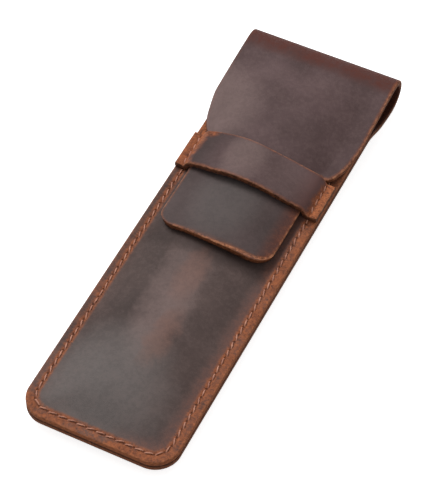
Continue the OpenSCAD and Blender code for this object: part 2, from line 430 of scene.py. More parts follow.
def length_at(y, upper):
    """Length along the leather at which it passes a Y, on the lower run or on the upper one."""
    rows = TABLE if not upper else TABLE[::-1]
    for (s0, a), (s1, b) in zip(rows, rows[1:]):
        if (a[0] - y) * (b[0] - y) <= 0 and a[0] != b[0]:
            return s0 + (s1 - s0) * (y - a[0]) / (b[0] - a[0])
    return rows[-1][0]


# Lengths along the blank: its toe, where the back leaves the table, the top of the fold, the shoulders,
# where the tongue starts, and its tip
S_TOE = length_at(0.0, False)
S_FLAT = length_at(170.0, False)
S_CREST = length_at(178.0, True)
S_SHOULDER = length_at(SHOULDER_Y, True)
S_SPLIT = length_at(SPLIT_Y, True)
S_TIP = length_at(TIP_Y, True)
# Where the blank is divided for the bodies that it moves with
S_LOW_CUT = length_at(181.0, False)
S_TOP_CUT = next(s for s, place in TABLE if s > S_LOW_CUT + 2 and place[1] >= 10.3)


def flare(s):
    """The blank is a little wider from the fold to the tongue than where it is sewn."""
    return 1 + (FLARE - 1) * ease((s - S_FLAT + 6) / (S_CREST - S_FLAT))


# The fold was creased a little askew: how far it leans at its top, what each mm past that adds, and over
# what length past the shoulders the flap straightens
FOLD_LEAN = -0.75
LEAN_PER_MM = 0.022
STRAIGHTENS = 16


def crown(x):
    """Share of the arch's height across the case."""
    return soft_max(1 - (x / ARCH_HALF) ** 2, 0, 0.06)


def lean_of(s):
    """How far the fold and the flap lie to one side, until the keeper straightens the tongue."""
    lean = ease((s - S_FLAT) / (S_CREST - S_FLAT)) * (FOLD_LEAN + (s - S_CREST) * LEAN_PER_MM)
    return lean * (1 - ease((s - S_SHOULDER) / STRAIGHTENS))


def slimmer_left(x, s):
    """The shoulders were cut by eye: the left one is slimmer."""
    return 0.6 * ease((-x - 20) / 6) * ease((s - S_SHOULDER) / 10) * (1 - ease((s - S_SPLIT + 2) / 8))


def fuller_right(x, s):
    """The right shoulder reaches further down."""
    return 2.2 * ease((x - 19) / 6) * ease((s - S_SHOULDER - 4) / 12) * (1 - ease((s - S_SPLIT - 1) / 12))


def blank_form(x, s):
    yc, zc, ye, ze = on_path(s)
    share = crown(x)
    y = ye + (yc - ye) * share
    z = ze + (zc - ze) * share
    if s < S_FLAT:
        z += back_rise(x, y) + groove(x, y)
    else:
        z += uneven(x, s, seed=5.3) * ease((s - S_CREST) / 20)
    return x + lean_of(s) + slimmer_left(x, s), TOE_Y + y - fuller_right(x, s), z


# The keeper's middle layer: an arch over the tongue, and the X and Z of each foot down to the rim
KEEPER_R = 52.13
KEEPER_CROWN = 17.5
KEEPER_TILT = 0.75
KEEPER_ARCH = 20.5
KEEPER_FEET = [
    (21.75, 12.55), (22.55, 11.4), (23.3, 10.2), (24.1, 9.62), (25.3, 9.5), (27.5, 9.5), (30.0, 9.5),
]


def lay_keeper():
    """Length from the middle, with X and Z, along half of the keeper's path."""
    line = [
        (x, KEEPER_CROWN - KEEPER_R + math.sqrt(KEEPER_R ** 2 - x * x))
        for x in spaced(0, KEEPER_ARCH, 1.0)
    ]
    feet = [line[-2], line[-1]] + KEEPER_FEET
    for k in range(1, len(feet) - 2):
        line += [spline(feet, k - 1 + u / 8) for u in range(1, 9)]
    table = [(0.0, line[0])]
    for a, b in zip(line, line[1:]):
        table.append((table[-1][0] + math.hypot(b[0] - a[0], b[1] - a[1]), b))
    return table


KEEPER_TABLE = lay_keeper()


def keeper_length(x):
    """Length along the keeper, from its middle, at which it passes an X."""
    for (s0, a), (s1, b) in zip(KEEPER_TABLE, KEEPER_TABLE[1:]):
        if a[0] <= x <= b[0]:
            return s0 + (s1 - s0) * (x - a[0]) / (b[0] - a[0])
    return KEEPER_TABLE[-1][0]


KEEPER_HALF = keeper_length(HALF_W)
KEEPER_SEAM = keeper_length(SEAM_X)


def keeper_rise(x):
    """How far the keeper's lower edge is cut back towards each end."""
    return 2.7 * ease((-x - 9) / 19) if x < 0 else 1.2 * ease((x - 12) / 16)


def keeper_form(t, y):
    far = abs(t)
    rows = KEEPER_TABLE
    k = next((i for i in range(len(rows) - 1) if rows[i + 1][0] >= far), len(rows) - 2)
    (s0, a), (s1, b) = rows[k], rows[k + 1]
    share = (far - s0) / (s1 - s0)
    x, z = a[0] + (b[0] - a[0]) * share, a[1] + (b[1] - a[1]) * share
    tilt = KEEPER_TILT * (KEEPER_MID - y) / (KEEPER_W / 2) * crown(x)
    dip = sink(far - KEEPER_SEAM)
    x = math.copysign(x, t)
    up = (y - KEEPER_LOW) / KEEPER_W
    # its right half is pulled lower, and its upper edge sags there towards the toe
    slack = ease((x + 10) / 20)
    y += keeper_rise(x) * (1 - up) - 1.2 * slack * up
    return x, TOE_Y + y, z + tilt - dip - 0.6 * slack * (1 - ease((x - 16) / 7))


# ---------------------------------------------------------------- the pieces of leather

def corner_cut(x, y, half, radius, low):
    """Distance from the edge of a strip whose lower corners are round."""
    dx, dy = abs(x) - (half - radius), (low + radius) - y
    if dx > 0 and dy > 0:
        return radius - math.hypot(dx, dy)
    return min(half - abs(x), y - low)


def front_cut(x, y):
    """Distance from the front's edge."""
    return max(min(corner_cut(x, y, HALF_W, TOE_R, 0), MOUTH_Y - y), 0)


def tongue_edge(s):
    """Half width of the blank at a length along it."""
    if s <= S_SHOULDER:
        return HALF_W
    if s >= S_SPLIT:
        return TONGUE_HALF
    share = (s - S_SHOULDER) / (S_SPLIT - S_SHOULDER)
    return TONGUE_HALF + (HALF_W - TONGUE_HALF) * math.sqrt(max(1 - share ** 2, 0))


def blank_cut(x, s):
    """Distance from the blank's edge."""
    ax = abs(x)
    if s < S_FLAT - 10:
        return max(min(corner_cut(x, s - S_TOE, HALF_W, TOE_R, 0), HALF_W - ax), 0)
    if s < S_SHOULDER - 4:
        return max(HALF_W * flare(s) - ax, 0)
    best = math.inf
    for (ux, us), (wx, ws) in zip(OUTLINE, OUTLINE[1:]):
        dx, ds = wx - ux, ws - us
        k = min(max(((ax - ux) * dx + (s - us) * ds) / max(dx * dx + ds * ds, 1e-9), 0), 1)
        best = min(best, math.hypot(ax - ux - k * dx, s - us - k * ds))
    return best


def outline_points():
    """Half width and length along the blank's edge, from its shoulders to its tip."""
    straight = S_TIP - TIP_R - TIP_BULGE
    level = TONGUE_HALF - TIP_R
    points = []
    for k in range(41):
        s = S_SHOULDER - 6 + (S_SPLIT - S_SHOULDER + 6) * k / 40
        points.append((tongue_edge(s) * FLARE, s))
    for k in range(61):
        points.append((TONGUE_HALF * FLARE, S_SPLIT + (straight - S_SPLIT) * k / 60))
    for k in range(13):
        a = math.pi / 2 * k / 12
        points.append(((TONGUE_HALF - TIP_R * (1 - math.cos(a))) * FLARE, straight + TIP_R * math.sin(a)))
    for k in range(31):
        x = level * k / 30
        points.append((x * FLARE, S_TIP - TIP_BULGE * (x / level) ** 2))
    return points


OUTLINE = outline_points()


def no_seam():
    """Far from any stitch."""
    return 9.0, 0.5


def blank_seam(x, s):
    return seam_place(x, s - S_TOE) if s < S_FLAT else no_seam()


def keeper_cut(t, y):
    """Distance from the keeper's edge."""
    return max(min(KEEPER_HALF - abs(t), y - KEEPER_LOW, KEEPER_HIGH - y), 0)


def keeper_seam(t, y):
    count = seam_place(keeper_form(t, y)[0], y)[1]
    return abs(abs(t) - KEEPER_SEAM), count


# Widths of the rings of faces from the cut edge inwards: over the rounded edge, then past the seam
EDGE_RINGS = (0.08, 0.17, 0.27, 0.7)
SEAM_RINGS = (1.1, 0.5, 0.4, 0.4, 0.5)
INNER_HALF = 20.7
INNER_STEP = 1.6
# Distance between the three close cuts where the leather is divided
NEAR = 0.12


def moulded_front():
    piece = sheet_of("front_leather", 2 * HALF_W, 0, MOUTH_Y)
    round_corners(piece, lambda p: p.y < 1, TOE_R, 14)
    ring(EDGE_RINGS + SEAM_RINGS)
    cut_lines(ACROSS, spaced(-INNER_HALF, INNER_HALF, INNER_STEP))
    cut_lines(ALONG, spaced(1.9, 31, 1.4) + spaced(33, MOUTH_Y - 1.8, 2.4))
    form_leather(piece, front_form, front_cut, seam_place, 1)
    return piece


def stretch_shoulders(piece):
    """Draws the round shoulders out to quarter ovals."""
    net = bmesh.from_edit_mesh(piece.data)
    for v in net.verts:
        x, s = abs(v.co.x) / MM, v.co.y / MM
        if x > TONGUE_HALF + 0.01 and S_SPLIT - 8 < s < S_SPLIT + 0.1:
            share = math.sqrt(max(1 - ((x - TONGUE_HALF) / (HALF_W - TONGUE_HALF)) ** 2, 0))
            v.co.y = (S_SHOULDER + (S_SPLIT - S_SHOULDER) * share) * MM
    bmesh.update_edit_mesh(piece.data)


def curve_tip_and_flare(piece):
    """Cuts the tip to a slight and skewed curve, and widens the blank from the fold on."""
    net = bmesh.from_edit_mesh(piece.data)
    for v in net.verts:
        x, s = abs(v.co.x) / MM, v.co.y / MM
        if s > S_SPLIT + 3:
            reach = (s - S_SPLIT - 3) / (S_TIP - S_SPLIT - 3)
            bulge = TIP_BULGE * (1 - ease(x / (TONGUE_HALF + 0.5))) * reach ** 3
            askew = TIP_SKEW * v.co.x / MM / TONGUE_HALF * ((s - S_SPLIT) / (S_TIP - S_SPLIT)) ** 2
            v.co.y += (bulge + askew) * MM
        v.co.x *= flare(s)
    bmesh.update_edit_mesh(piece.data)


def flat_blank():
    """The flat blank: a strip with its tongue drawn out of one end, and every corner rounded."""
    piece = sheet_of("blank", 2 * HALF_W, S_TOE, S_SPLIT)
    bpy.ops.object.mode_set(mode="EDIT")
    cut_lines(ACROSS, (-TONGUE_HALF, TONGUE_HALF))
    pick(piece, "EDGE", lambda p: p.y > S_SPLIT - 1 and abs(p.x) < 1)
    tongue = (0, (S_TIP - TIP_BULGE - S_SPLIT) * MM, 0)
    bpy.ops.mesh.extrude_region_move(TRANSFORM_OT_translate={"value": tongue})
    pick(piece, "FACE", lambda p: True)
    bpy.ops.mesh.normals_make_consistent(inside=False)
    bpy.ops.mesh.dissolve_limited(angle_limit=math.radians(1), use_dissolve_boundaries=False)
    shoulder = HALF_W - TONGUE_HALF - 0.02
    round_corners(piece, lambda p: p.y < S_TOE + 1, TOE_R, 14)
    round_corners(piece, lambda p: abs(p.x) > HALF_W - 0.1 and abs(p.y - S_SPLIT) < 0.1, shoulder, 8)
    round_corners(piece, lambda p: p.y > S_TIP - TIP_BULGE - 0.1, TIP_R, 8)
    stretch_shoulders(piece)
    return piece


def both_sides_of(s):
    """Three close cuts, so that the leather divides cleanly at the middle one."""
    return [s - NEAR, s, s + NEAR]


def whole_blank():
    """The blank that makes the back, the fold, the flap and its tongue."""
    piece = flat_blank()
    ring(EDGE_RINGS + SEAM_RINGS)
    cut_lines(ACROSS, spaced(-INNER_HALF, INNER_HALF, INNER_STEP))
    cut_lines(ALONG, spaced(S_TOE + 1.9, S_TOE + 33, 1.5) + spaced(S_TOE + 35.5, S_FLAT - 16, 2.6))
    cut_lines(ALONG, spaced(S_FLAT - 14.5, S_LOW_CUT - 0.6, 0.85) + both_sides_of(S_LOW_CUT))
    cut_lines(ALONG, spaced(S_LOW_CUT + 0.6, S_TOP_CUT - 0.6, 0.6) + both_sides_of(S_TOP_CUT))
    cut_lines(ALONG, spaced(S_TOP_CUT + 0.6, S_CREST + 6, 0.7) + spaced(S_CREST + 7.5, S_TIP - 1.8, 1.7))
    curve_tip_and_flare(piece)
    form_leather(piece, blank_form, blank_cut, blank_seam, -1)
    return piece


def keeper_strap():
    piece = sheet_of("keeper_leather", 2 * KEEPER_HALF, KEEPER_LOW, KEEPER_HIGH)
    bpy.ops.object.mode_set(mode="EDIT")
    ring(EDGE_RINGS + (0.9,))
    foot = KEEPER_HALF - 2
    cut_lines(ACROSS, spaced(-foot, -20, 0.55) + spaced(-19, 19, 1.5) + spaced(20, foot, 0.55))
    cut_lines(ALONG, spaced(KEEPER_LOW + 2.2, KEEPER_HIGH - 2.2, 1.2))
    form_leather(piece, keeper_form, keeper_cut, keeper_seam, 1)
    return piece


def part_of_blank(name, low, high):
    """A copy of the blank that keeps the leather between two lengths, with its cut ends closed."""
    take_up(blank)
    bpy.ops.object.duplicate()
    piece = bpy.context.object
    piece.name = name
    piece.data.name = name
    net = bmesh.new()
    net.from_mesh(piece.data)
    layer = net.verts.layers.float["flat_s"]
    gone = [
        f for f in net.faces
        if not low < sum(v[layer] for v in f.verts) / len(f.verts) < high
    ]
    bmesh.ops.delete(net, geom=gone, context="FACES")
    rim = [e for e in net.edges if e.is_boundary]
    for f in bmesh.ops.edgenet_fill(net, edges=rim)["faces"]:
        f.smooth = False
    bmesh.ops.recalc_face_normals(net, faces=net.faces)
    net.to_mesh(piece.data)
    net.free()
    return piece


front = moulded_front()
blank = whole_blank()
keeper = keeper_strap()
back = part_of_blank("back_leather", -math.inf, S_LOW_CUT)
fold = part_of_blank("fold_leather", S_LOW_CUT, S_TOP_CUT)
flap = part_of_blank("flap_leather", S_TOP_CUT, math.inf)
bpy.data.objects.remove(blank)


# ---------------------------------------------------------------- thread

def hole_place(i):
    """X and Y of a stitch hole, counted from the seam's left end."""
    run = i * PITCH
    side = -1
    if run > SEAM_L / 2:
        run, side = SEAM_L - run, 1
    if run < SIDE_RUN:
        x, y = SEAM_X, SEAM_TOP - run
    elif run < SIDE_RUN + CORNER_RUN:
        a = (run - SIDE_RUN) / SEAM_R
        x, y = HALF_W - TOE_R + SEAM_R * math.cos(a), TOE_R - SEAM_R * math.sin(a)
    else:
        x, y = HALF_W - TOE_R - (run - SIDE_RUN - CORNER_RUN), HALF_W - SEAM_X
    return side * x, y


# Radius of the thread, height of its arch, how deep it lies, and its slant from hole to hole
THREAD_W = 0.32
THREAD_RISE = 0.34
THREAD_SUNK = 0.2
THREAD_DIVE = 0.42
SLANT = math.radians(13)
# How much a stitch varies in length, in lean and in place
LENGTH_PLAY = 0.10
LEAN_PLAY = 0.30
PLACE_PLAY = 0.2
# How fast the plies turn, and how far apart stitches lie in the noise that gives each its tone
TWIST = 7.5
TONE_STEP = 7.3


def luck(hole, level, step, seed):
    """A number about 0 that belongs to one stitch."""
    return noise.noise(Vector((hole * step, level, seed)))


def waxed_stitch():
    """One stitch of two twisted plies, lying along X from -0.5 to 0.5 with tapered ends; sew arches it
    between its two holes.
    """
    put_down()
    bpy.ops.mesh.primitive_cylinder_add(vertices=8, radius=THREAD_W, depth=1, rotation=(0, math.pi / 2, 0))
    piece = bpy.context.object
    bpy.ops.object.transform_apply(location=True, rotation=True, scale=True)
    bpy.ops.object.mode_set(mode="EDIT")
    for place in spaced(-0.5, 0.5, 0.125)[1:-1]:
        bpy.ops.mesh.select_all(action="SELECT")
        bpy.ops.mesh.bisect(plane_co=(place, 0, 0), plane_no=ACROSS, use_fill=False)
    bpy.ops.object.mode_set(mode="OBJECT")
    for v in piece.data.vertices:
        a = math.atan2(v.co.z, v.co.y)
        plump = THREAD_W * (0.82 + 0.24 * math.cos(2 * (a - v.co.x * TWIST)))
        ends = 1 - 0.35 * abs(2 * v.co.x) ** 4
        v.co.y = plump * ends * math.cos(a)
        v.co.z = plump * ends * math.sin(a) * 0.9
    return piece


pattern = waxed_stitch()
pattern_points = [v.co.copy() for v in pattern.data.vertices]
pattern_faces = [tuple(p.vertices) for p in pattern.data.polygons]
bpy.data.objects.remove(pattern)


def sew(name, stitches):
    """Sews a run of stitches: each is its first hole, its height, and 1 on the front or -1 on the back."""
    net = bmesh.new()
    layer = net.verts.layers.float.new("along")
    for number, (hole, level, up) in enumerate(stitches):
        ax, ay = hole_place(hole)
        bx, by = hole_place(hole + 1)
        run = Vector((bx - ax, by - ay, 0))
        length = run.length * (1.0 + LENGTH_PLAY * luck(hole, level, 2.3, 4.1))
        heading = math.atan2(run.y, run.x) + SLANT * up + LEAN_PLAY * luck(hole, level, 1.7, 0.3)
        middle = Vector(((ax + bx) / 2, (ay + by) / 2, 0))
        middle += Vector((luck(hole, level, 1.9, 7.7), luck(hole, level, 2.1, 9.4), 0)) * PLACE_PLAY
        c, w = math.cos(heading), math.sin(heading)
        points = []
        for p in pattern_points:
            x = p.x * length
            end = (2 * p.x) ** 4
            arch = THREAD_RISE * (1 - end) - THREAD_DIVE * end
            q = Vector((x * c - p.y * w, x * w + p.y * c, 0)) + middle
            v = net.verts.new(Vector((q.x, q.y + TOE_Y, level + up * (arch - THREAD_SUNK) + p.z)) * MM)
            v[layer] = x + number * TONE_STEP
            points.append(v)
        for f in pattern_faces:
            net.faces.new([points[k] for k in f])
    mesh = bpy.data.meshes.new(name)
    net.to_mesh(mesh)
    net.free()
    piece = bpy.data.objects.new(name, mesh)
    bpy.context.scene.collection.objects.link(piece)
    take_up(piece)
    bpy.ops.object.shade_smooth()
    return piece


def group_of(i):
    """The run of stitches that a stitch belongs to."""
    ax, ay = hole_place(i)
    by = hole_place(i + 1)[1]
    if min(ay, by) < TOE_R:
        return "toe"
    side = "left" if ax < 0 else "right"
    if KEEPER_LOW < ay < KEEPER_HIGH or KEEPER_LOW < by < KEEPER_HIGH:
        return side + "_keeper"
    return side + "_side"


def level_of(i):
    """Height of the leather that a stitch lies on: the rim's, or the keeper's end on top of it."""
    x, y = hole_place(i)
    middle = (y + hole_place(i + 1)[1]) / 2
    on_keeper = KEEPER_LOW + keeper_rise(x) + 0.6 < middle < KEEPER_HIGH - 0.4
    return RIM_TOP + THICK if on_keeper else RIM_TOP


threads = {}
for group in ("left_side", "toe", "right_side", "left_keeper", "right_keeper"):
    mine = [i for i in range(STITCHES) if group_of(i) == group]
    on_front = [(i, level_of(i), 1) for i in mine]
    on_back = [(i, RIM_UNDER, -1) for i in mine]
    threads[group] = sew(group + "_thread", on_front + on_back)


# ---------------------------------------------------------------- shading

def ink(red, green, blue):
    """A colour as it is seen, from 0 to 255, as the light it sends back."""
    def light(c):
        c = c / 255
        return c / 12.92 if c <= 0.04045 else ((c + 0.055) / 1.055) ** 2.4
    return (light(red), light(green), light(blue), 1.0)


class Value:
    """A socket whose number or colour changes over the surface. Sums and products add Math nodes."""

    def __init__(self, finish, socket):
        self.finish = finish
        self.socket = socket

    def math(self, operation, *others):
        values = dict(enumerate((self,) + others))
        return self.finish.node("ShaderNodeMath", {"operation": operation}, values)

    def __add__(self, other):
        return self.math("ADD", other)

    __radd__ = __add__

    def __mul__(self, other):
        return self.math("MULTIPLY", other)

    __rmul__ = __mul__

    def __sub__(self, other):
        return self.math("SUBTRACT", other)

    def __rsub__(self, other):
        return (self * -1) + other

    def __truediv__(self, other):
        return self.math("DIVIDE", other)

    def __pow__(self, other):
        return self.math("POWER", other)

    def __abs__(self):
        return self.math("ABSOLUTE")

    def upper(self, other):
        return self.math("MAXIMUM", other)

    def lower(self, other):
        return self.math("MINIMUM", other)

    def spread(self):
        """A noise's narrow middle, spread from 0 to 1."""
        return self.step(0.34, 0.66)

    def step(self, low, high):
        """0 below low, 1 above high, and a smooth rise between; high below low turns it round."""
        values = {0: self, 1: low, 2: high, 3: 0.0, 4: 1.0}
        if high < low:
            values = {0: self, 1: high, 2: low, 3: 1.0, 4: 0.0}
        return self.finish.node("ShaderNodeMapRange", {"interpolation_type": "SMOOTHSTEP"}, values)


class Finish:
    """One material, built node by node."""

    def __init__(self, name):
        self.material = bpy.data.materials.new(name)
        self.material.use_nodes = True
        self.tree = self.material.node_tree
        self.tree.nodes.clear()

    def node(self, kind, settings=None, values=None, out=0):
        """A node with its settings made first, then the values or links of its sockets."""
        new = self.tree.nodes.new(kind)
        for key, value in (settings or {}).items():
            setattr(new, key, value)
        for key, value in (values or {}).items():
            if isinstance(value, Value):
                self.tree.links.new(value.socket, new.inputs[key])
            else:
                new.inputs[key].default_value = value
        return Value(self, new.outputs[out]) if len(new.outputs) else None

    def attribute(self, name):
        return self.node("ShaderNodeAttribute", {"attribute_name": name}, out=2)

    def vector(self, x, y, z):
        return self.node("ShaderNodeCombineXYZ", values={0: x, 1: y, 2: z})

    def noise(self, place, scale, detail=3.0, rough=0.55, twist=0.0):
        values = {"Vector": place, "Scale": scale, "Detail": detail, "Roughness": rough, "Distortion": twist}
        return self.node("ShaderNodeTexNoise", values=values)

    def cells(self, place, scale):
        """Distance from the borders between small cells."""
        settings = {"feature": "DISTANCE_TO_EDGE"}
        return self.node("ShaderNodeTexVoronoi", settings, {"Vector": place, "Scale": scale})

    def mix(self, share, a, b):
        return self.node("ShaderNodeMix", {"data_type": "RGBA"}, {0: share, 6: a, 7: b}, out=2)

    def bump(self, height, distance, strength):
        values = {"Height": height, "Distance": distance, "Strength": strength}
        return self.node("ShaderNodeBump", values=values)

    def close(self, **sockets):
        """Ends the finish with a surface, its sockets named with low lines for spaces."""
        values = {key.replace("_", " "): value for key, value in sockets.items()}
        shader = self.node("ShaderNodeBsdfPrincipled", values=values)
        self.node("ShaderNodeOutputMaterial", values={0: shader})
        return self.material


# Each piece's grain, from its darker to its lighter tone
FRONT_TONES = (ink(62, 50, 47), ink(82, 67, 63))
FLAP_TONES = (ink(70, 52, 51), ink(93, 73, 73))
# Each piece's cut edge, from dark wax to bare fibre
FRONT_EDGE = (ink(74, 39, 21), ink(146, 84, 48))
BACK_EDGE = (ink(58, 31, 18), ink(122, 72, 46))
FOLD_EDGE = (ink(40, 19, 12), ink(104, 56, 34))
FLAP_EDGE = (ink(32, 15, 9), ink(122, 68, 38))
KEEPER_EDGE = (ink(26, 12, 8), ink(84, 46, 27))
# What wear and wax do to the leather; PULLED also paints sheen, SHADE paints shade and random dark mottle,
# and PIT paints the shade in the awl holes
PULLED = ink(124, 104, 100)
WORN = ink(106, 100, 98)
SHADE = ink(36, 24, 21)
CREASE = ink(82, 42, 34)
RUST_DARK = ink(80, 44, 32)
RUST = ink(146, 84, 53)
EMBER = ink(180, 108, 68)
TAN = ink(192, 132, 98)
FLESH = ink(74, 35, 19)
FLESH_DARK = ink(44, 20, 10)
PIT = ink(74, 40, 27)
GLOSS = 0.16
PEBBLE_DEPTH = 0.00010


class Leather(Finish):
    """A finish of oiled leather: its flat place, its distances, and the noises that its marks share."""

    def __init__(self, name):
        super().__init__(name)
        self.x = self.attribute("flat_x")
        self.s = self.attribute("flat_s")
        self.depth = self.attribute("depth")
        self.cut = self.attribute("cut")
        self.seam = self.attribute("seam")
        self.place = self.vector(self.x, self.s, self.depth * 2.0)
        self.cloud = self.noise(self.place, 0.045, 3.0, 0.55)
        self.patch = self.noise(self.place, 0.16, 4.0, 0.6, 0.4)
        self.fine = self.noise(self.place, 0.75, 4.0, 0.6).spread()
        self.speck = self.noise(self.place, 2.0, 3.0, 0.65).spread()
        worn_through = self.noise(self.place, 0.29, 4.0, 0.65, 0.6).spread()
        self.mottle = self.fine * 0.4 + self.speck * 0.25 + worn_through * 0.35
        self.grain_side = self.depth.step(0.84, 1.04)
        self.flesh_side = self.depth.step(-0.85, -1.02)
        self.hole = self.awl_holes()

    def awl_holes(self):
        """1 in the awl's holes at both ends of each stitch."""
        stitch = self.attribute("stitch")
        nearest = stitch - stitch.math("ROUND")
        away = ((nearest * PITCH) ** 2 + self.seam ** 2) ** 0.5
        return away.step(0.66, 0.34)

    def grain(self, mark, tones):
        """Dark grain that pales where it is bent and where sheen is painted, darkens where shade is painted,
        and turns rust-brown along seams and cut edges.
        """
        mottle, patch, fine, speck = self.mottle, self.patch, self.fine, self.speck
        grain = self.mix(self.cloud.step(0.25, 0.8), tones[0], tones[1])
        # pulled pales the grain for pull-up, and also carries painted sheen
        grain = self.mix((mark["pulled"] * (0.75 + patch * 0.4)).lower(1.0), grain, PULLED)
        if "worn" in mark:
            grain = self.mix((mark["worn"] * (0.7 + patch * 0.4)).lower(1.0), grain, WORN)
        grain = self.mix(mottle.step(0.4, 0.95) * 0.12, grain, PULLED)
        grain = self.mix(mottle.step(0.6, 0.15) * 0.10, grain, SHADE)
        grain = self.mix((mark["shade"] * 0.85).lower(0.9), grain, SHADE)
        grain = self.mix((mark["crease"] * (0.6 + mottle * 0.6)).lower(1.0), grain, CREASE)
        rusty = self.mix(self.noise(self.place, 0.62, 5.0, 0.75, 0.6).spread(), RUST_DARK, RUST)
        bare = mark["rust"] * (0.3 + mottle * 0.8 + patch.spread() * 0.55)
        grain = self.mix(bare.lower(1.0) * 0.95, grain, rusty)
        grain = self.mix((mark["ember"] * (speck * 0.8 + fine * 0.6 - 0.1)).lower(1.0), grain, EMBER)
        grain = self.mix(self.cut.step(0.7, 0.2) * fine * mark["line"] * 0.6, grain, TAN)
        grain = self.mix(self.seam.step(1.0, 0.3) * 0.35, grain, FLESH)
        # the awl holes are painted shade
        grain = self.mix(self.hole * 0.65, grain, PIT)
        if "smear" in mark:
            grain = self.mix(mark["smear"] * (0.2 + mottle * 0.2), grain, RUST)
        return grain

    def cut_edge(self, mark, tones):
        """Streaks of fibre and wax, darker towards the flesh side, partly dark wax and partly painted shade
        under the edge, and lighter along the grain's corner.
        """
        streak = self.noise(self.vector(self.x * 1.3, self.s * 1.3, self.depth * 7.0), 0.7, 4.0, 0.7)
        edge = self.mix(streak.spread(), tones[0], tones[1])
        # darker towards the flesh side: dark wax, and painted shade under the edge
        edge = self.mix(self.depth.step(-0.1, -0.8) * 0.85, edge, tones[0])
        edge = self.mix(self.speck * self.fine * 0.35, edge, EMBER)
        # painted shade on the flap's cut edge, strongest away from its left side and the tongue
        if "side" in mark:
            edge = self.mix((1 - mark["side"]) * 0.75, edge, SHADE)
        corner = self.depth.step(0.5, 0.9) * (self.fine * 0.7 + 0.2)
        return self.mix(corner * mark["line"] * 0.8, edge, TAN)

    def flesh(self):
        flesh = self.mix(self.noise(self.place, 1.6, 4.0, 0.7).spread(), FLESH_DARK, FLESH)
        # the awl holes are painted shade here too
        return self.mix(self.hole, flesh, PIT)

    def relief(self):
        """Height of the pebbled grain, of the flesh side's nap and of the cut edge's fibres."""
        pores = self.cells(self.place, 2.6).step(0.0, 0.25)
        pebble = pores * 0.35 + self.fine * 0.25 + self.noise(self.place, 3.4, 2.0) * 0.3
        nap = self.noise(self.place, 5.0, 3.0, 0.8)
        fibres = self.noise(self.vector(self.x * 2.0, self.s * 2.0, self.depth * 14.0), 0.9, 3.0, 0.7)
        height = self.grain_side * (pebble - self.hole * 2.5) + self.flesh_side * nap * 1.6
        return height + (1 - self.grain_side - self.flesh_side) * fibres * 1.4


def oiled_leather(name, marks, tones, edges):
    """Oiled pull-up leather. marks returns the share of each mark over the piece, by the mark's name."""
    f = Leather(name)
    mark = marks(f)
    under = f.mix(f.flesh_side, f.cut_edge(mark, edges), f.flesh())
    rough = 0.54 + f.patch * 0.14 - mark["pulled"] * 0.06 + mark["rust"] * 0.12
    return f.close(
        Base_Color=f.mix(f.grain_side, under, f.grain(mark, tones)),
        Roughness=rough * f.grain_side + (1 - f.grain_side) * 0.8,
        Normal=f.bump(f.relief(), PEBBLE_DEPTH, 0.8),
        Specular_IOR_Level=GLOSS,
    )


def blob(x, s, at_x, at_s, wide, long):
    """A soft oval patch on the leather, 1 in its middle."""
    across = (x - at_x) / wide
    along = (s - at_s) / long
    return (across ** 2 + along ** 2).step(1.0, 0.0)


def front_marks(f):
    """Rust along the right rim, the seam and the toe, a painted sheen streak down the middle, and a dark part
    under the tongue and the keeper with painted shadow below the tongue's tip.
    """
    x, s, cut = f.x, f.s, f.cut
    right = x.step(2.0, 17.0)
    toe = s.step(11.0, 5.0)
    wave = (f.patch - 0.5) * 6.0
    outer = cut.step(3.8, 2.0) * (0.3 + right * 0.62 + toe * 0.55 + (f.cloud - 0.5) * 1.2).lower(0.92)
    outer = outer.upper(cut.step(1.5, 0.4) * (0.2 + right * 0.6 + toe * 0.6).lower(0.95))
    by_seam = f.seam.step(2.1, 0.4)
    inner = (cut + wave).step(9.4, 3.8) * cut.step(2.6, 3.6) * (0.12 + right * 0.8)
    corner = blob(x, s, -25.5, 132, 6, 7)
    rim_glow = cut.step(2.6, 0.3) * (0.05 + right * 0.5 + toe * 0.4).lower(0.5)
    # a painted sheen streak down the bulge's middle, and a rust smear along part of it
    drift = x + (f.patch - 0.5) * 9.0
    streak = blob(drift, s, -2.0, 64, 11, 40) * 0.44 + blob(drift, s, 1.0, 46, 9, 32) * 0.24
    smear = blob(drift, s, 0.5, 70, 6, 15) * 0.45 + blob(drift, s, 3.0, 43, 5.5, 16) * 0.5
    # painted shadow just below the tongue's tip, and the tongue and the keeper have kept the leather under
    # them dark
    covered_and_shadowed = s.step(76.5, 82.0) * s.step(118.0, 110.0) * (0.35 + x.step(-16.0, 2.0) * 0.65)
    covered_and_shadowed = covered_and_shadowed * x.step(23.6, 21.8) * x.step(-22.5, -20.0)
    paler = x.step(2.0, 12.0) * 0.14 + f.cloud.step(0.5, 0.8) * 0.1
    return {
        "pulled": (streak + inner * 0.5 + paler).lower(1.0),
        "worn": blob(drift, s, -6, 17, 28, 32) * 0.74,
        "rust": outer.upper(by_seam * 0.9).upper(corner).upper(inner * 0.3),
        "smear": smear,
        "ember": corner * 0.5 + by_seam * (0.4 + right * 0.2) + rim_glow,
        # the blob at the tongue's tip is painted shadow
        "shade": blob(x, s, -6, 82, 26, 7) * 0.24 + covered_and_shadowed * 0.62,
        "crease": inner * 0.4,
        "line": 0.35,
    }


def back_marks(f):
    """Rust along the rim and the seam."""
    patch = f.patch
    rim = (f.cut + (patch - 0.5) * 4.0).step(3.4, 0.6) * 0.8
    by_seam = f.seam.step(2.0, 0.5) * 0.85
    bend = f.s.step(S_FLAT - 2, S_CREST - 5)
    return {
        "pulled": f.cloud.step(0.4, 0.75) * 0.5,
        "rust": rim.upper(by_seam),
        "ember": by_seam * 0.4 + rim * 0.3,
        "shade": f.s.step(S_FLAT, S_CREST - 5) * 0.25,
        "crease": (bend * (0.6 + (patch - 0.5) * 2.5)).upper(0.0),
        "line": 0.3,
    }


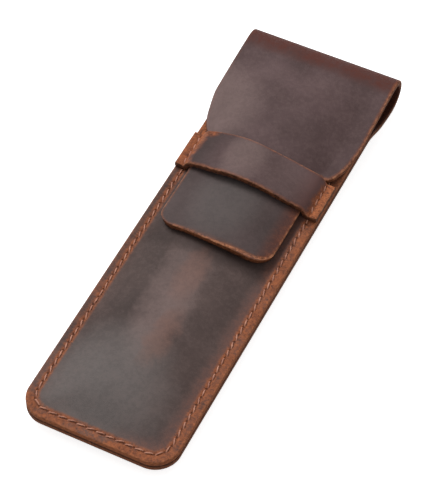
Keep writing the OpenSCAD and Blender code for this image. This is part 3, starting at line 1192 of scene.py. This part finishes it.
def crest_stain(f, crest):
    """The top of the fold is stained red-brown in patches."""
    return crest * (0.95 + (f.patch - 0.5) * 1.8)


def fold_marks(f):
    """As on the back, with the stain of the fold's top fading in."""
    marks = back_marks(f)
    crest = f.s.step(S_CREST - 14.0, S_CREST - 5.0)
    marks["shade"] = marks["shade"].upper(crest * 0.3)
    marks["crease"] = crest_stain(f, crest).lower(1.0).upper(0.0)
    return marks


def flap_marks(f):
    """A stained crest, a pale left side of painted sheen, and a dark tongue whose right edge glows through.
    """
    x, s = f.x, f.s
    tongue = s.step(S_SPLIT - 2, S_SPLIT + 10)
    side = x.step(-25.0, -12.0).upper(tongue * 0.8)
    line = f.cut.step(1.4, 0.3) * (0.1 + side * 0.4)
    tip = s.step(S_TIP - 3.0, S_TIP - 0.5) * 0.3
    glow = x.step(14.5, 21.0) * s.step(S_SPLIT + 8, S_SPLIT + 18)
    crest = s.step(S_CREST + 8.0, S_CREST + 1.0)
    # painted sheen on the flap's left side
    paler = blob(x, s, -29, S_SHOULDER + 8, 24, 26) * 0.55 + f.cloud.step(0.5, 0.8) * 0.1
    by_keeper = blob(x, s, 10, S_SPLIT - 12, 20, 14) * 0.12
    return {
        "pulled": paler.lower(1.0),
        "worn": (blob(x, s, -2, S_SPLIT + 26, 15, 24) * 0.5 + tongue * 0.3).lower(1.0),
        "rust": line.upper(tip).upper(glow * 0.25),
        "ember": line * 0.4,
        "shade": (by_keeper + tongue * 0.45 + crest * 0.3).lower(1.0),
        "crease": (crest_stain(f, crest) + glow * 0.7).lower(1.0).upper(0.0),
        "line": side,
        "side": side,
    }


def keeper_marks(f):
    """A light middle of painted sheen, partly pull-up from bending, a left wall darkened with painted shade,
    and rust at both feet and along the long edges.
    """
    x, s = f.x, f.s
    right = x.step(-2.0, 2.0)
    feet = (abs(x) + (f.patch - 0.5) * 5.0 - right * 2.0).step(20.6, 24.2)
    line = (s - KEEPER_LOW).step(1.6, 0.3) * 0.5 + (KEEPER_HIGH - s).step(1.4, 0.3) * 0.5
    corner = blob(x, s, -21.0, KEEPER_HIGH - 0.5, 5, 4) * 0.8
    # painted shade on the left wall
    wall = x.step(-9.0, -21.0) * 0.72
    return {
        # the pale middle is painted sheen, partly pull-up from bending
        "pulled": blob(x, s, -4, KEEPER_MID + 1, 9, 18) * 0.5 + blob(x, s, 14, KEEPER_MID, 16, 16) * 0.16,
        "rust": feet.upper(line).upper(corner),
        "ember": feet * (0.4 + right * 0.35),
        "shade": wall * (1 - feet) + (1 - right) * feet * 0.15,
        "crease": x.step(14.0, 24.0) * 0.5 + feet * 0.3,
        "line": 0.6,
    }


THREAD_DARK = ink(148, 91, 70)
THREAD_LIGHT = ink(194, 137, 110)
THREAD_WAX = ink(110, 56, 36)


def waxed_thread():
    """Two-ply thread, grimy in places, each stitch with a tone of its own."""
    f = Finish("waxed_thread")
    along = f.attribute("along")
    place = f.node("ShaderNodeTexCoord", out=3)
    grime = f.noise(place, 420.0, 4.0, 0.7).spread()
    each = f.noise(f.vector(along * 0.21, 0.0, 0.0), 1.0, 1.0).spread()
    fibre = f.noise(place, 4200.0, 2.0, 0.6)
    colour = f.mix(grime * 0.6 + each * 0.4, THREAD_DARK, THREAD_LIGHT)
    colour = f.mix(fibre.step(0.5, 0.8) * 0.3, colour, THREAD_WAX)
    ply = (along * 2.2).math("SINE") * 0.5 + fibre * 0.5
    return f.close(Base_Color=colour, Roughness=0.6, Normal=f.bump(ply, 0.00005, 0.5), Sheen_Weight=0.15)


def dress(piece, material):
    piece.data.materials.clear()
    piece.data.materials.append(material)


dress(front, oiled_leather("front_leather", front_marks, FRONT_TONES, FRONT_EDGE))
dress(back, oiled_leather("back_leather", back_marks, FRONT_TONES, BACK_EDGE))
dress(fold, oiled_leather("fold_leather", fold_marks, FLAP_TONES, FOLD_EDGE))
dress(flap, oiled_leather("flap_leather", flap_marks, FLAP_TONES, FLAP_EDGE))
dress(keeper, oiled_leather("keeper_leather", keeper_marks, FLAP_TONES, KEEPER_EDGE))
thread_finish = waxed_thread()
for piece in threads.values():
    dress(piece, thread_finish)

# ---------------------------------------------------------------- what moves with what

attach(front, "case")
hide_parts("front_panel")
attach(keeper, "case")
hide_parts("keeper_strap")
for group, piece in threads.items():
    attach(piece, "case")
    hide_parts(group + "_stitches")


def at(y, z):
    """A place in the frame, in the plane that halves the case."""
    return (0, (TOE_Y + y) * MM, z * MM)


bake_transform(back, "case", "fold_1", start=at(175.9, -2.5), end=at(178.7, 4.6))
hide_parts("back_panel", "fold_band_1")
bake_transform(fold, "fold_1", "fold_2", start=at(182.6, 4.8), end=at(181.8, 9.9))
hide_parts("fold_band_2")
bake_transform(flap, "fold_2", "flap", start=at(180.3, 9.9), end=at(177.8, 16.3))
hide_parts("flap_front", "flap_tongue")

# ---------------------------------------------------------------- floor and light

FLOOR = 6.0
FLOOR_LEVEL = -0.00015
FLOOR_TONE = (0.86, 0.86, 0.86, 1)
FLOOR_GLOW = 0.74
SKY = 0.54
WHITE = (1, 1, 1, 1)


def pale_floor():
    """A plain floor that takes the shadow, and is bright where it is seen or mirrored."""
    put_down()
    bpy.ops.mesh.primitive_plane_add(size=FLOOR, location=(0, 0, FLOOR_LEVEL))
    floor = bpy.context.object
    floor.name = "floor"
    f = Finish("pale_floor")
    seen = f.node("ShaderNodeLightPath", out=0)
    mirrored = f.node("ShaderNodeLightPath", out=3)
    base = f.node("ShaderNodeBsdfDiffuse", values={"Color": FLOOR_TONE})
    strength = seen.upper(mirrored) * FLOOR_GLOW
    glow = f.node("ShaderNodeEmission", values={"Color": WHITE, "Strength": strength})
    both = f.node("ShaderNodeAddShader", values={0: base, 1: glow})
    f.node("ShaderNodeOutputMaterial", values={0: both})
    floor.data.materials.append(f.material)


def white_sky():
    world = bpy.data.worlds.new("world")
    bpy.context.scene.world = world
    world.use_nodes = True
    sky = world.node_tree.nodes["Background"]
    sky.inputs["Color"].default_value = WHITE
    sky.inputs["Strength"].default_value = SKY


def soft_lamp(name, place, size, power):
    """A soft box that points at the middle of the case."""
    data = bpy.data.lights.new(name, "AREA")
    data.shape = "RECTANGLE"
    data.size, data.size_y = size
    data.energy = power
    lamp = bpy.data.objects.new(name, data)
    lamp.location = place
    lamp.rotation_euler = (-Vector(place)).to_track_quat("-Z", "Y").to_euler()
    bpy.context.scene.collection.objects.link(lamp)


pale_floor()
white_sky()
soft_lamp("key", (-0.7, 0.5, 1.0), (0.7, 0.6), 14)
bpy.context.scene.view_settings.view_transform = "Standard"
